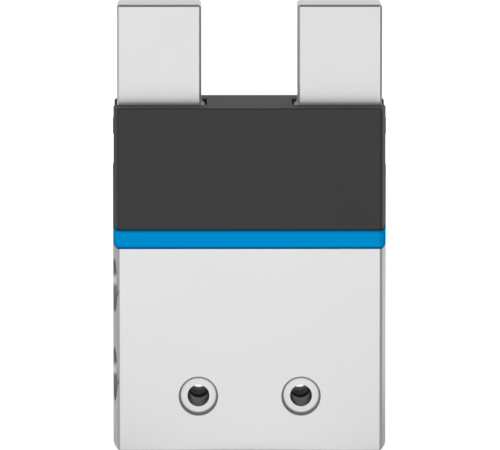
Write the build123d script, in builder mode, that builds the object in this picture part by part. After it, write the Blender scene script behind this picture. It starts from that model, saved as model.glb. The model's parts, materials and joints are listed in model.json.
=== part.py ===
from build123d import *
import os
from math import asin, cos, degrees, sin, sqrt

os.makedirs("parts", exist_ok=True)

# Parallel gripper with two T-slot jaws, driven through bell-crank levers by one air piston.
# Millimetres. X is the jaw travel, Y the depth with the front at -Y, Z is up.
# The origin is the centre of the bottom face. Jaws are modelled closed, piston down.

# Outside of the body
body_width = 75.0
body_depth = 41.0
side_bow = 1.5
corner_chamfer = 0.6
edge_break = 0.4
band_height = 5.45
band_round = 0.5

# Clearances
running_clearance = 0.05
slide_clearance = 0.1
lobe_clearance = 0.15
seat_clearance = 0.05
head_clearance = 0.3
stop_gap = 0.1
swing_clearance = 0.5

# Jaws and fingers
finger_height = 27.35
finger_depth = 19.0
finger_gap = 26.4
finger_chamfer = 0.55
ledge_width = 1.0
ledge_drop = 1.0
ledge_fillet = 1.6
jaw_end_inset = 1.3
neck_width = 10.8
foot_width = 19.8
jaw_stroke = 10.0
foot_end_wall = 1.25
jaw_roof = 0.95
jaw_mouth_flare = 2.6
jaw_bolt_core = 4.2
jaw_bolt_spacing = 12.0
jaw_bolt_rise = 8.0
jaw_dowel_bore = 4.0
jaw_dowel_spread = 11.0

# T-slot in the cap
channel_depth = 3.7
lip_thickness = 4.3
bridge_gap = 0.5

# Levers
jaw_arm = 11.5
rod_arm = 10.0
pivot_spread = 36.0
lever_thickness = 12.0
lobe_radius = 3.0
arm_tip_radius = 1.7
arm_root_radius = 4.0
hub_radius = 6.0
hub_roof = 0.5
pin_diameter = 6.0
bush_wall = 1.25
pin_land = 6.0
pin_end_room = 0.4
plug_diameter = 8.0
plug_length = 5.5
plug_sink = 0.6
plug_hex = 4.0
plug_hex_depth = 3.0

# Crosshead and rod
crosshead_lift = 0.5
crosshead_height = 8.8
crosshead_width = 19.6
crosshead_depth = 12.0
crosshead_web = 9.4
rod_diameter = 12.0
stud_diameter = 6.0
stud_length = 7.2
cross_pin_diameter = 2.5
rod_tail_diameter = 8.0
rod_chamfer = 0.4

# Piston and its rings
bore_wall = 4.5
piston_height = 14.0
piston_seal_width = 2.2
piston_seal_depth = 2.3
magnet_width = 2.4
magnet_depth = 2.0
wear_width = 2.4
wear_depth = 1.3
nut_pocket_depth = 5.5
nut_pocket_diameter = 16.4
nut_flats = 13.0
nut_height = 4.8
bumper_thickness = 1.5
bumper_side_room = 2.0
bumper_width = 4.0

# Rod gland and what it carries
spigot_length = 8.5
band_wall = 2.5
gland_bore_gap = 0.25
rod_seal_outer = 18.0
rod_seal_height = 3.0
rod_seal_rise = 1.2
bush_outer = 15.0
bush_length = 5.8
wiper_outer = 17.0
wiper_height = 2.3
ring_section = 1.9
ring_groove_width = 2.4
ring_groove_rise = 5.6

# Screws and dowels that hold the body together
screw_diameter = 4.0
screw_head_diameter = 7.0
screw_head_height = 4.0
screw_head_sink = 1.0
screw_hex = 3.0
screw_hex_depth = 2.0
screw_port_wall = 0.45
screw_face_wall = 6.0
screw_grip = 10.0
screw_end_room = 1.0
dowel_diameter = 4.0
dowel_length = 13.0
dowel_side_wall = 6.5
dowel_bite = 4.4

# Front holes
mount_spread = 28.0
mount_height = 15.0
mount_roof = 6.0
mount_recess = 9.7
mount_recess_depth = 1.3
mount_recess_chamfer = 0.55
mount_near_bore = 6.0
mount_far_bore = 5.6
mount_relief_bore = 7.2
mount_relief_width = 6.0
mount_relief_shift = 1.4

# Holes in the bottom face
base_spread = 44.0
base_core = 5.0
base_core_depth = 12.0
base_recess = 7.0
base_recess_depth = 1.6

# Air ports on the left side
port_upper_drop = 2.2
port_lower_drop = 0.8
port_forward = 13.0
port_spotface = 14.6
port_spotface_depth = 1.35
port_core = 8.8
port_depth = 8.5
port_mouth_chamfer = 0.6
feed_diameter = 2.4
feed_lower_lift = 0.8
feed_upper_drop = 1.8
feed_forward = 10.2

# Sensor slots in the back face
slot_side_wall = 6.0
slot_round = 3.6
slot_mouth = 2.8
slot_setback = 2.6
slot_end_wall = 9.6

# Lever swing, from the jaw travel it has to give
swing = asin(jaw_stroke / (2 * jaw_arm))
piston_stroke = 2 * rod_arm * sin(swing)

# Heights of the cylinder, from the front holes up to the trim band
bore_floor = mount_height + mount_roof
piston_floor = bore_floor + bumper_thickness + stop_gap
piston_top = piston_floor + piston_height
gland_bottom = piston_top + piston_stroke + stop_gap + bumper_thickness
housing_height = gland_bottom + spigot_length
band_top = housing_height + band_height

# Heights of the drive, from the crosshead up to the top of the cap and the fingers
crosshead_bottom = band_top + crosshead_lift
crosshead_z = crosshead_bottom + crosshead_height / 2
pivot_z = crosshead_z + rod_arm * sin(swing)
foot_slot_floor = pivot_z + hub_radius + hub_roof
foot_floor = foot_slot_floor + slide_clearance
foot_top = pivot_z + jaw_arm + lobe_radius + lobe_clearance + jaw_roof
foot_slot_top = foot_top + slide_clearance
foot_slot_height = foot_slot_top - foot_slot_floor
channel_floor = foot_slot_top + lip_thickness
cap_top = channel_floor + channel_depth
cap_height = cap_top - band_top
finger_top = cap_top + finger_height

# Levers and the slots that take their lobes
pivot_x = pivot_spread / 2
jaw_lobe_x = pivot_x - jaw_arm * sin(swing)
rod_lobe_x = pivot_x - rod_arm * cos(swing)
lobe_slot = 2 * (lobe_radius + lobe_clearance)
pocket_half = lobe_slot / 2
mouth_half = pocket_half + jaw_mouth_flare

# Finger, ledge and foot ends of the right jaw
finger_inner = finger_gap / 2
finger_outer = body_width / 2 - jaw_end_inset
finger_width = finger_outer - finger_inner
ledge_inner = finger_inner - ledge_width
ledge_z = cap_top - ledge_drop
ledge_fillet_top = ledge_z + sqrt(ledge_fillet**2 - (ledge_fillet - ledge_width) ** 2)
foot_inner = jaw_lobe_x - mouth_half - foot_end_wall

# Slots follow the jaw that runs in them, and the bridge stops the closing jaws
channel_width = finger_depth + 2 * slide_clearance
neck_slot_width = neck_width + 2 * slide_clearance
foot_slot_width = foot_width + 2 * slide_clearance
bridge_half = ledge_inner - bridge_gap

# Drive pocket under the T-slot
pocket_depth_y = max(lever_thickness, crosshead_depth) + 2 * swing_clearance
pocket_half_x = pivot_x + hub_radius + swing_clearance

# Diameters that follow the bore and the rod
bore_diameter = body_depth - 2 * bore_wall
piston_diameter = bore_diameter - 2 * running_clearance
ring_outer = bore_diameter - running_clearance
bumper_outer = bore_diameter - 2 * bumper_side_room
bumper_inner = bumper_outer - 2 * bumper_width
rod_bore = rod_diameter + 2 * gland_bore_gap

# Holes placed from the outside of the body
port_floor_x = body_width / 2 - port_spotface_depth - port_depth
screw_x = port_floor_x - screw_diameter / 2 - screw_port_wall
screw_y = body_depth / 2 - screw_face_wall
dowel_x = body_width / 2 - dowel_side_wall
slot_x = body_width / 2 - slot_side_wall
slot_y = body_depth / 2 - slot_setback
port_heights = (bore_floor - port_lower_drop, gland_bottom - port_upper_drop)
feed_heights = (bore_floor + feed_lower_lift, gland_bottom - feed_upper_drop)


def body_outline(inset=0.0):
    """Barrel outline: flat front and back, sides bowed out by one arc each."""
    half_width = body_width / 2 - inset
    half_depth = body_depth / 2 - inset
    half_face = half_width - side_bow
    with BuildSketch() as outline:
        with BuildLine():
            Line((-half_face, -half_depth), (half_face, -half_depth))
            ThreePointArc((half_face, -half_depth), (half_width, 0), (half_face, half_depth))
            Line((half_face, half_depth), (-half_face, half_depth))
            ThreePointArc((-half_face, half_depth), (-half_width, 0), (-half_face, -half_depth))
        make_face()
        chamfer(outline.vertices(), corner_chamfer)
    return outline.sketch


def spot(face, across, up, depth=0.0):
    """Plane at a point of a face, sunk below the face by a depth."""
    return Plane(face * Pos(across, up, -depth))


def ring(plane, outer, inner, height):
    """Plain ring that stands on the plane."""
    with BuildSketch(plane) as face:
        Circle(outer / 2)
        Circle(inner / 2, mode=Mode.SUBTRACT)
    extrude(face.sketch, amount=height)


def bore(plane, diameter, depth):
    """Round hole sunk below the plane."""
    with BuildSketch(plane) as face:
        Circle(diameter / 2)
    extrude(face.sketch, amount=-depth, mode=Mode.SUBTRACT)


def countersink(plane, diameter, depth):
    """Cone that opens the mouth of a hole, at 45 degrees."""
    with BuildSketch(plane) as mouth:
        Circle(diameter / 2 + depth)
    extrude(mouth.sketch, amount=-depth, taper=45, mode=Mode.SUBTRACT)


def socket_screw(x, y, seat):
    """Hexagon socket screw standing head down, its head's upper face at the seat."""
    head_floor = seat - screw_head_height
    with BuildSketch(Plane((x, y, head_floor))) as socket_wall:
        Circle(screw_head_diameter / 2)
        RegularPolygon(screw_hex / 2, 6, major_radius=False, mode=Mode.SUBTRACT)
    extrude(socket_wall.sketch, amount=screw_hex_depth)
    with BuildSketch(Plane((x, y, head_floor + screw_hex_depth))) as head:
        Circle(screw_head_diameter / 2)
    extrude(head.sketch, amount=screw_head_height - screw_hex_depth)
    with BuildSketch(Plane((x, y, seat))) as shank:
        Circle(screw_diameter / 2)
    extrude(shank.sketch, amount=band_top + screw_grip - seat)


sides = (-1, 1)
screw_places = [(i * screw_x, j * screw_y) for i in sides for j in sides]
dowel_places = [(i * dowel_x, 0) for i in sides]
screw_hole = screw_diameter + 2 * seat_clearance
thread_depth = screw_grip + screw_end_room
dowel_hole = dowel_diameter + 2 * seat_clearance
screw_seat = screw_head_height + screw_head_sink
dowel_floor = band_top + dowel_bite - dowel_length

# Housing
front_face = Plane.XZ.offset(body_depth / 2)
back_face = Plane((0, body_depth / 2, 0), x_dir=(-1, 0, 0), z_dir=(0, 1, 0))
left_side = Plane((-body_width / 2, 0, 0), x_dir=(0, -1, 0), z_dir=(-1, 0, 0))
with BuildPart() as housing:
    with BuildSketch():
        add(body_outline())
    extrude(amount=housing_height)
    chamfer(housing.faces().sort_by(Axis.Z)[0].edges(), edge_break)
    bore(Plane.XY.offset(housing_height), bore_diameter, housing_height - bore_floor)
    for x, y in screw_places:
        bore(Plane((x, y, housing_height)), screw_hole, housing_height)
        bore(Plane((x, y, screw_seat)), screw_head_diameter + 2 * head_clearance, screw_seat)
    for x, y in dowel_places:
        bore(Plane((x, y, housing_height)), dowel_hole, housing_height - dowel_floor)
    for side in sides:
        for face in (front_face, back_face):
            seat = spot(face, side * mount_spread / 2, mount_height)
            bore(seat, mount_recess, mount_recess_depth)
            countersink(seat, mount_recess, mount_recess_chamfer)
        mouth = spot(front_face, side * mount_spread / 2, mount_height)
        middle = spot(Plane.XZ, side * mount_spread / 2, mount_height, mount_relief_shift)
        bore(mouth, mount_near_bore, body_depth / 2 + mount_relief_shift)
        bore(middle, mount_far_bore, body_depth / 2 - mount_relief_shift)
        bore(middle.offset(mount_relief_width / 2), mount_relief_bore, mount_relief_width)
        base_hole = Plane((side * base_spread / 2, 0, 0), x_dir=(1, 0, 0), z_dir=(0, 0, -1))
        bore(base_hole, base_core, base_core_depth)
        bore(base_hole, base_recess, base_recess_depth)
        with BuildSketch(Plane.XY):
            with Locations((side * slot_x, slot_y)):
                Circle(slot_round / 2)
            with Locations((side * slot_x, slot_y + slot_setback / 2)):
                Rectangle(slot_mouth, slot_setback)
        extrude(amount=housing_height - slot_end_wall, mode=Mode.SUBTRACT)
    for port_z, feed_z in zip(port_heights, feed_heights):
        bore(spot(left_side, port_forward, port_z), port_spotface, port_spotface_depth)
        port_seat = spot(left_side, port_forward, port_z, port_spotface_depth)
        bore(port_seat, port_core, port_depth)
        countersink(port_seat, port_core, port_mouth_chamfer)
        bore(spot(left_side, feed_forward, feed_z), feed_diameter, body_width / 2)
housing.part.label = "housing"

# Trim band: a thin coloured ring round the gland plate
with BuildPart() as trim_band:
    with BuildSketch(Plane.XY.offset(housing_height)):
        add(body_outline())
        add(body_outline(band_wall), mode=Mode.SUBTRACT)
    extrude(amount=band_height)
    for face in (trim_band.faces().sort_by(Axis.Z)[0], trim_band.faces().sort_by(Axis.Z)[-1]):
        fillet(face.outer_wire().edges(), band_round)
trim_band.part.label = "trim_band"

# Guide cap with the T-slot, the drive pocket and the seats of the lever pins
pin_front = -lever_thickness / 2 - pin_land
plug_floor = body_depth / 2 - plug_sink - plug_length
pin_back = plug_floor - pin_end_room
with BuildPart() as guide_cap:
    with BuildSketch(Plane.XY.offset(band_top)):
        add(body_outline())
    extrude(amount=cap_height)
    chamfer(guide_cap.faces().sort_by(Axis.Z)[-1].edges(), edge_break)
    with BuildSketch(Plane.YZ):
        with Locations((0, foot_slot_floor + foot_slot_height / 2)):
            Rectangle(foot_slot_width, foot_slot_height)
    extrude(amount=body_width, both=True, mode=Mode.SUBTRACT)
    for side in sides:
        with BuildSketch(Plane.YZ.offset(side * bridge_half)):
            with Locations((0, foot_slot_top + lip_thickness / 2)):
                Rectangle(neck_slot_width, lip_thickness)
            with Locations((0, channel_floor + channel_depth / 2)):
                Rectangle(channel_width, channel_depth)
        extrude(amount=side * body_width / 2, mode=Mode.SUBTRACT)
        pin_seat = spot(back_face, side * pivot_x, pivot_z)
        bore(pin_seat, pin_diameter + 2 * seat_clearance, body_depth / 2 - pin_front)
        bore(pin_seat, plug_diameter + 2 * seat_clearance, body_depth / 2 - plug_floor)
    with BuildSketch(Plane.XY.offset(band_top)):
        Rectangle(2 * pocket_half_x, pocket_depth_y)
    extrude(amount=foot_slot_floor - band_top, mode=Mode.SUBTRACT)
    for x, y in screw_places:
        bore(Plane((x, y, band_top + thread_depth)), screw_hole, thread_depth)
    for x, y in dowel_places:
        bore(Plane((x, y, band_top + dowel_bite)), dowel_hole, dowel_bite)
guide_cap.part.label = "guide_cap"

# Right jaw: foot, neck, ledge and finger in one piece
jaw_half_depth = finger_depth / 2
pocket_roof = foot_top - jaw_roof
pocket_waist = pivot_z + jaw_arm * cos(swing) - lobe_radius / 3
with BuildPart() as right_jaw:
    with BuildSketch(Plane.XZ):
        with BuildLine():
            Polyline(
                (ledge_inner, ledge_z),
                (ledge_inner, channel_floor + slide_clearance),
                (finger_outer, channel_floor + slide_clearance),
                (finger_outer, finger_top),
                (finger_inner, finger_top),
                (finger_inner, ledge_fillet_top),
            )
            RadiusArc((finger_inner, ledge_fillet_top), (ledge_inner, ledge_z), ledge_fillet)
        make_face()
    extrude(amount=jaw_half_depth, both=True)
    finger_edges = right_jaw.edges().filter_by(Axis.Z).filter_by_position(
        Axis.Z, cap_top, finger_top
    )
    chamfer(finger_edges, finger_chamfer)
    chamfer(right_jaw.faces().sort_by(Axis.Z)[-1].edges(), finger_chamfer)
    neck_length = finger_outer - ledge_inner
    with BuildSketch(Plane.XY.offset(foot_top)):
        with Locations((ledge_inner + neck_length / 2, 0)):
            Rectangle(neck_length, neck_width)
    extrude(amount=channel_floor + slide_clearance - foot_top)
    foot_length = finger_outer - foot_inner
    with BuildSketch(Plane.XY.offset(foot_floor)):
        with Locations((foot_inner + foot_length / 2, 0)):
            Rectangle(foot_length, foot_width)
    extrude(amount=foot_top - foot_floor)
    with BuildSketch(Plane.XZ):
        with BuildLine():
            Polyline(
                (jaw_lobe_x - pocket_half, pocket_roof),
                (jaw_lobe_x + pocket_half, pocket_roof),
                (jaw_lobe_x + pocket_half, pocket_waist),
                (jaw_lobe_x + mouth_half, foot_floor),
                (jaw_lobe_x - mouth_half, foot_floor),
                (jaw_lobe_x - pocket_half, pocket_waist),
                close=True,
            )
        make_face()
    extrude(amount=lever_thickness / 2 + lobe_clearance, both=True, mode=Mode.SUBTRACT)
    bolt_bottom = cap_top + jaw_bolt_rise
    with BuildSketch(Plane.YZ.offset(finger_outer)):
        for k in (0, 1):
            with Locations((0, bolt_bottom + k * jaw_bolt_spacing)):
                Circle(jaw_bolt_core / 2)
        for side in sides:
            with Locations((side * jaw_dowel_spread / 2, bolt_bottom + jaw_bolt_spacing / 2)):
                Circle(jaw_dowel_bore / 2)
    extrude(amount=-finger_width, mode=Mode.SUBTRACT)
right_jaw.part.label = "right_jaw"

with BuildPart() as left_jaw:
    mirror(right_jaw.part, about=Plane.YZ)
left_jaw.part.label = "left_jaw"

# Right lever: hub, short arm down to the crosshead and long arm up into the jaw
bush_outer_hub = pin_diameter + 2 * bush_wall
jaw_lobe = (jaw_lobe_x, pivot_z + jaw_arm * cos(swing))
rod_lobe = (rod_lobe_x, crosshead_z)
with BuildPart() as right_lever:
    with BuildSketch(Plane.XZ):
        for lobe in (jaw_lobe, rod_lobe):
            with BuildSketch():
                with Locations((pivot_x, pivot_z)):
                    Circle(arm_root_radius)
                with Locations(lobe):
                    Circle(arm_tip_radius)
                make_hull()
            with Locations(lobe):
                Circle(lobe_radius)
        with Locations((pivot_x, pivot_z)):
            Circle(hub_radius)
            Circle(bush_outer_hub / 2, mode=Mode.SUBTRACT)
    extrude(amount=lever_thickness / 2, both=True)
right_lever.part.label = "right_lever"

with BuildPart() as left_lever:
    mirror(right_lever.part, about=Plane.YZ)
left_lever.part.label = "left_lever"

# Bronze bushes pressed into the lever hubs
lever_bushes = {}
for name, side in (("left_lever_bush", -1), ("right_lever_bush", 1)):
    with BuildPart() as lever_bush:
        with BuildSketch(Plane.XZ):
            with Locations((side * pivot_x, pivot_z)):
                Circle(bush_outer_hub / 2)
                Circle(pin_diameter / 2 + running_clearance, mode=Mode.SUBTRACT)
        extrude(amount=lever_thickness / 2, both=True)
    lever_bush.part.label = name
    lever_bushes[name] = lever_bush

# Lever pins, pushed in from the back of the cap
with BuildPart() as lever_pins:
    with BuildSketch(Plane.XZ.offset(-pin_back)):
        with Locations((-pivot_x, pivot_z), (pivot_x, pivot_z)):
            Circle(pin_diameter / 2)
    extrude(amount=pin_back - pin_front - seat_clearance)
lever_pins.part.label = "lever_pins"

# Threaded plugs that close the pin bores
plug_plane = Plane.XZ.offset(-plug_floor)
with BuildPart() as pin_plugs:
    for side in sides:
        seat = spot(plug_plane, side * pivot_x, pivot_z)
        with BuildSketch(seat):
            Circle(plug_diameter / 2)
        extrude(amount=-plug_length)
        with BuildSketch(seat.offset(-plug_length)):
            RegularPolygon(plug_hex / 2, 6, major_radius=False)
        extrude(amount=plug_hex_depth, mode=Mode.SUBTRACT)
pin_plugs.part.label = "pin_plugs"

# Crosshead: a block with an open slot on each side for the lever lobes
with BuildPart() as crosshead:
    with BuildSketch(Plane.XZ):
        with Locations((0, crosshead_z)):
            Rectangle(crosshead_width, crosshead_height)
        for side in sides:
            slot_depth = (crosshead_width - crosshead_web) / 2
            with Locations((side * (crosshead_web + slot_depth) / 2, crosshead_z)):
                Rectangle(slot_depth, lobe_slot, mode=Mode.SUBTRACT)
    extrude(amount=crosshead_depth / 2, both=True)
    bore(
        Plane.XY.offset(crosshead_bottom + stud_length + seat_clearance),
        stud_diameter + 2 * seat_clearance,
        stud_length + seat_clearance,
    )
    with BuildSketch(Plane.XZ):
        with Locations((0, crosshead_z)):
            Circle(cross_pin_diameter / 2 + seat_clearance)
    extrude(amount=crosshead_depth, both=True, mode=Mode.SUBTRACT)
crosshead.part.label = "crosshead"

# Cross pin that locks the crosshead to the rod
with BuildPart() as crosshead_pin:
    with BuildSketch(Plane.XZ):
        with Locations((0, crosshead_z)):
            Circle(cross_pin_diameter / 2)
    extrude(amount=crosshead_depth / 2, both=True)
crosshead_pin.part.label = "crosshead_pin"

# Piston rod: stud on top, tail with a nut through the piston
tail_floor = piston_floor + nut_pocket_depth - nut_height
with BuildPart() as piston_rod:
    with BuildSketch(Plane.XY.offset(piston_top)):
        Circle(rod_diameter / 2)
    extrude(amount=crosshead_bottom - piston_top)
    chamfer(piston_rod.faces().sort_by(Axis.Z)[-1].edges(), rod_chamfer)
    with BuildSketch(Plane.XY.offset(crosshead_bottom)):
        Circle(stud_diameter / 2)
    extrude(amount=stud_length)
    with BuildSketch(Plane.XY.offset(tail_floor)):
        Circle(rod_tail_diameter / 2)
    extrude(amount=piston_top - tail_floor)
    with BuildSketch(Plane.XZ):
        with Locations((0, crosshead_z)):
            Circle(cross_pin_diameter / 2 + seat_clearance)
    extrude(amount=rod_diameter, both=True, mode=Mode.SUBTRACT)
piston_rod.part.label = "piston_rod"

# Piston with grooves for seal, magnet, wear ring and seal, parted by equal lands
groove_sizes = (
    (piston_seal_width, piston_seal_depth),
    (magnet_width, magnet_depth),
    (wear_width, wear_depth),
    (piston_seal_width, piston_seal_depth),
)
land = (piston_height - sum(width for width, depth in groove_sizes)) / (len(groove_sizes) + 1)
groove_floors = []
groove_z = piston_floor + land
for width, depth in groove_sizes:
    groove_floors.append(groove_z)
    groove_z += width + land
with BuildPart() as piston:
    with BuildSketch(Plane.XY.offset(piston_floor)):
        Circle(piston_diameter / 2)
        Circle((rod_tail_diameter + 2 * seat_clearance) / 2, mode=Mode.SUBTRACT)
    extrude(amount=piston_height)
    bore(Plane.XY.offset(piston_floor + nut_pocket_depth), nut_pocket_diameter, nut_pocket_depth)
    for floor, (width, depth) in zip(groove_floors, groove_sizes):
        with BuildSketch(Plane.XY.offset(floor)):
            Circle(bore_diameter / 2)
            Circle(bore_diameter / 2 - depth, mode=Mode.SUBTRACT)
        extrude(amount=width, mode=Mode.SUBTRACT)
piston.part.label = "piston"


def piston_ring(index):
    """Ring that fills one of the piston's grooves, with a little side play."""
    width, depth = groove_sizes[index]
    plane = Plane.XY.offset(groove_floors[index] + seat_clearance)
    inner = bore_diameter - 2 * depth + 2 * seat_clearance
    ring(plane, ring_outer, inner, width - 2 * seat_clearance)


with BuildPart() as piston_seals:
    piston_ring(0)
    piston_ring(3)
piston_seals.part.label = "piston_seals"

with BuildPart() as magnet_ring:
    piston_ring(1)
magnet_ring.part.label = "magnet_ring"

with BuildPart() as wear_ring:
    piston_ring(2)
wear_ring.part.label = "wear_ring"

# Nut under the piston
with BuildPart() as piston_nut:
    with BuildSketch(Plane.XY.offset(tail_floor)):
        RegularPolygon(nut_flats / 2, 6, major_radius=False)
        Circle(rod_tail_diameter / 2 + seat_clearance, mode=Mode.SUBTRACT)
    extrude(amount=nut_height)
piston_nut.part.label = "piston_nut"

# Rubber bumpers at both ends of the chamber
with BuildPart() as lower_bumper:
    ring(Plane.XY.offset(bore_floor), bumper_outer, bumper_inner, bumper_thickness)
lower_bumper.part.label = "lower_bumper"

with BuildPart() as upper_bumper:
    ring(Plane.XY.offset(gland_bottom - bumper_thickness), bumper_outer, bumper_inner, bumper_thickness)
upper_bumper.part.label = "upper_bumper"

# Rod gland: plate inside the trim band with a spigot into the bore
seal_floor = gland_bottom + rod_seal_rise
wiper_floor = band_top - wiper_height - 2 * seat_clearance
bush_floor = wiper_floor - bush_length
ring_groove_floor = gland_bottom + ring_groove_rise
with BuildPart() as rod_gland:
    with BuildSketch(Plane.XY.offset(housing_height)):
        add(body_outline(band_wall + slide_clearance))
    extrude(amount=band_height)
    with BuildSketch(Plane.XY.offset(gland_bottom)):
        Circle(piston_diameter / 2)
    extrude(amount=housing_height - gland_bottom)
    bore(Plane.XY.offset(band_top), rod_bore, band_top - gland_bottom)
    bore(Plane.XY.offset(seal_floor + rod_seal_height), rod_seal_outer, rod_seal_height)
    bore(Plane.XY.offset(wiper_floor), bush_outer, bush_length)
    bore(Plane.XY.offset(band_top), wiper_outer, band_top - wiper_floor)
    with BuildSketch(Plane.XY.offset(ring_groove_floor)):
        Circle(bore_diameter / 2)
        Circle(bore_diameter / 2 - ring_section - 2 * seat_clearance, mode=Mode.SUBTRACT)
    extrude(amount=ring_groove_width, mode=Mode.SUBTRACT)
    for x, y in screw_places:
        bore(Plane((x, y, band_top)), screw_hole, band_height)
    for x, y in dowel_places:
        bore(Plane((x, y, band_top)), dowel_hole, band_height)
rod_gland.part.label = "rod_gland"

running_bore = rod_diameter + 2 * running_clearance
with BuildPart() as rod_bush:
    ring(Plane.XY.offset(bush_floor), bush_outer, running_bore, bush_length)
rod_bush.part.label = "rod_bush"

with BuildPart() as rod_seal:
    ring(
        Plane.XY.offset(seal_floor + seat_clearance),
        rod_seal_outer - 2 * seat_clearance,
        running_bore,
        rod_seal_height - 2 * seat_clearance,
    )
rod_seal.part.label = "rod_seal"

with BuildPart() as rod_wiper:
    ring(
        Plane.XY.offset(wiper_floor + seat_clearance),
        wiper_outer - 2 * seat_clearance,
        running_bore,
        wiper_height,
    )
rod_wiper.part.label = "rod_wiper"

# Static ring between the spigot and the bore
with BuildPart() as gland_o_ring:
    with BuildSketch(Plane.XZ):
        with Locations(
            (
                (bore_diameter - ring_section) / 2 - seat_clearance,
                ring_groove_floor + ring_groove_width / 2,
            )
        ):
            Circle(ring_section / 2)
    revolve(axis=Axis.Z)
gland_o_ring.part.label = "gland_o_ring"

# Screws from below and dowels that line up housing, gland and cap
with BuildPart() as cap_screws:
    for x, y in screw_places:
        socket_screw(x, y, screw_seat)
cap_screws.part.label = "cap_screws"

with BuildPart() as cap_dowels:
    for x, y in dowel_places:
        with BuildSketch(Plane((x, y, dowel_floor))):
            Circle(dowel_diameter / 2)
        extrude(amount=dowel_length - seat_clearance)
cap_dowels.part.label = "cap_dowels"

pieces = [
    housing, trim_band, guide_cap, left_jaw, right_jaw, left_lever, right_lever,
    lever_pins, pin_plugs, crosshead, crosshead_pin, piston_rod, piston,
    piston_seals, magnet_ring, wear_ring, piston_nut, lower_bumper, upper_bumper,
    rod_gland, rod_bush, rod_seal, rod_wiper, gland_o_ring, cap_screws, cap_dowels,
]
pieces += lever_bushes.values()
for piece in pieces:
    export_step(piece.part, f"parts/{piece.part.label}.step")

print(f"swing {2 * degrees(swing):.3f} deg, piston stroke {piston_stroke:.4f} mm")
print(f"pivot z {pivot_z:.3f}, jaw lobe x {jaw_lobe_x:.3f}, crosshead z {crosshead_z:.3f}")
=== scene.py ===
# %% [markdown]
# # A parallel gripper, dressed for its portrait
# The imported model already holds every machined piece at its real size: housing, blue band, dark cap, steel
# jaws and the drive inside. This notebook adds what machining leaves behind: threads, knurls, seal lips,
# splits in rings, and the finish of each metal. All lengths are in metres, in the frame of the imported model.

# %% Load the frame
import json
import math

import bmesh
import bpy
import numpy as np
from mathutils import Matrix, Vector


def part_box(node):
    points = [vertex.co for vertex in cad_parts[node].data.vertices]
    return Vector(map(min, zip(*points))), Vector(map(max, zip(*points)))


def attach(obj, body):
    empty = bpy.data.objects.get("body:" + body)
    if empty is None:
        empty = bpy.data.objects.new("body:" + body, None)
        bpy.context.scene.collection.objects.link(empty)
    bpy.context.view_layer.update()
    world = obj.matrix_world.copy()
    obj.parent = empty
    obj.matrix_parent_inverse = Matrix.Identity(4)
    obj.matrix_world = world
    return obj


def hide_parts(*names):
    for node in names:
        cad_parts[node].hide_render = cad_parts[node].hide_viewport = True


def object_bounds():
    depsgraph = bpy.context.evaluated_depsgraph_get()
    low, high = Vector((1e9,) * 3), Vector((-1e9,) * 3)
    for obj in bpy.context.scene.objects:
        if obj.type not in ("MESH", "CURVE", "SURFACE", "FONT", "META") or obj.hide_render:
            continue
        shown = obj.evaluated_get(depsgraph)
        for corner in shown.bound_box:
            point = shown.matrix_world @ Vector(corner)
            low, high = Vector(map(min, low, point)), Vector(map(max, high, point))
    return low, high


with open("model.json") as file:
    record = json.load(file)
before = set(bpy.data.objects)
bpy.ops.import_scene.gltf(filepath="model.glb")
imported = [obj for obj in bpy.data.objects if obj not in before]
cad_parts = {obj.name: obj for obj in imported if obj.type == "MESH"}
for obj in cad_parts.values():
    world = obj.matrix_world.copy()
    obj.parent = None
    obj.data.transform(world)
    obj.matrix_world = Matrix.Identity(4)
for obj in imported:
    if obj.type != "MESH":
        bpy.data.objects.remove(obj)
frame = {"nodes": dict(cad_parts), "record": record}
cad_low, cad_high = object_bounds()
nodes = frame["nodes"]
mounts = {row["name"]: row for row in frame["record"]["mounts"]}
MM = 0.001
print("CAD box", [round(v / MM, 1) for v in (*cad_low, *cad_high)])


# %% [markdown]
# ## The camera
# The picture was taken almost square on with a very long lens, a little above the part and a hair to its
# left: the upright edges of the body stay parallel, and the top faces show as thin strips. A lens of 468 mm
# on a 36 mm wide sensor, standing 1.77 m away and looking six degrees down, gives that view.

# %% Camera
FRONT = cad_low.y
PITCH = math.radians(6.35)
TO_THE_LEFT = math.radians(0.3)
DISTANCE = 1.768
LENS = 468.0
SENSOR_WIDTH = 36.0
CLIP_START, CLIP_END = 0.05, 60.0
AIM = Vector((0.07 * MM, FRONT, 61.98 * MM))


def make_camera():
    """Long lens in front of the part, raised by PITCH and turned by TO_THE_LEFT about the point AIM."""
    data = bpy.data.cameras.new("camera")
    data.lens = LENS
    data.sensor_width = SENSOR_WIDTH
    data.clip_start, data.clip_end = CLIP_START, CLIP_END
    camera = bpy.data.objects.new("camera", data)
    level = math.cos(PITCH)
    back = Vector((-level * math.sin(TO_THE_LEFT), -level * math.cos(TO_THE_LEFT), math.sin(PITCH)))
    camera.location = AIM + DISTANCE * back
    camera.rotation_mode = "QUATERNION"
    camera.rotation_quaternion = (-back).to_track_quat("-Z", "Y")
    bpy.context.scene.collection.objects.link(camera)
    bpy.context.scene.camera = camera
    return camera


camera = make_camera()
print("camera at", [round(v, 3) for v in camera.location])


# %% [markdown]
# ## Shader helpers
# Each finish is a small graph: a shader whose fixed numbers sit on its own sockets, a noise that varies the
# colour by a percent or two over centimetres, and a fine one that varies the roughness and makes the bump.

# %% Shader helpers
def wire(tree, source, target):
    tree.links.new(source, target)


def new_material(name):
    """Empty material with one Principled shader; gives the tree, the shader and the object coordinates."""
    material = bpy.data.materials.new(name)
    material.use_nodes = True
    tree = material.node_tree
    tree.nodes.clear()
    output = tree.nodes.new("ShaderNodeOutputMaterial")
    shader = tree.nodes.new("ShaderNodeBsdfPrincipled")
    wire(tree, shader.outputs["BSDF"], output.inputs["Surface"])
    coords = tree.nodes.new("ShaderNodeTexCoord").outputs["Object"]
    return material, tree, shader, coords


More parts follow.
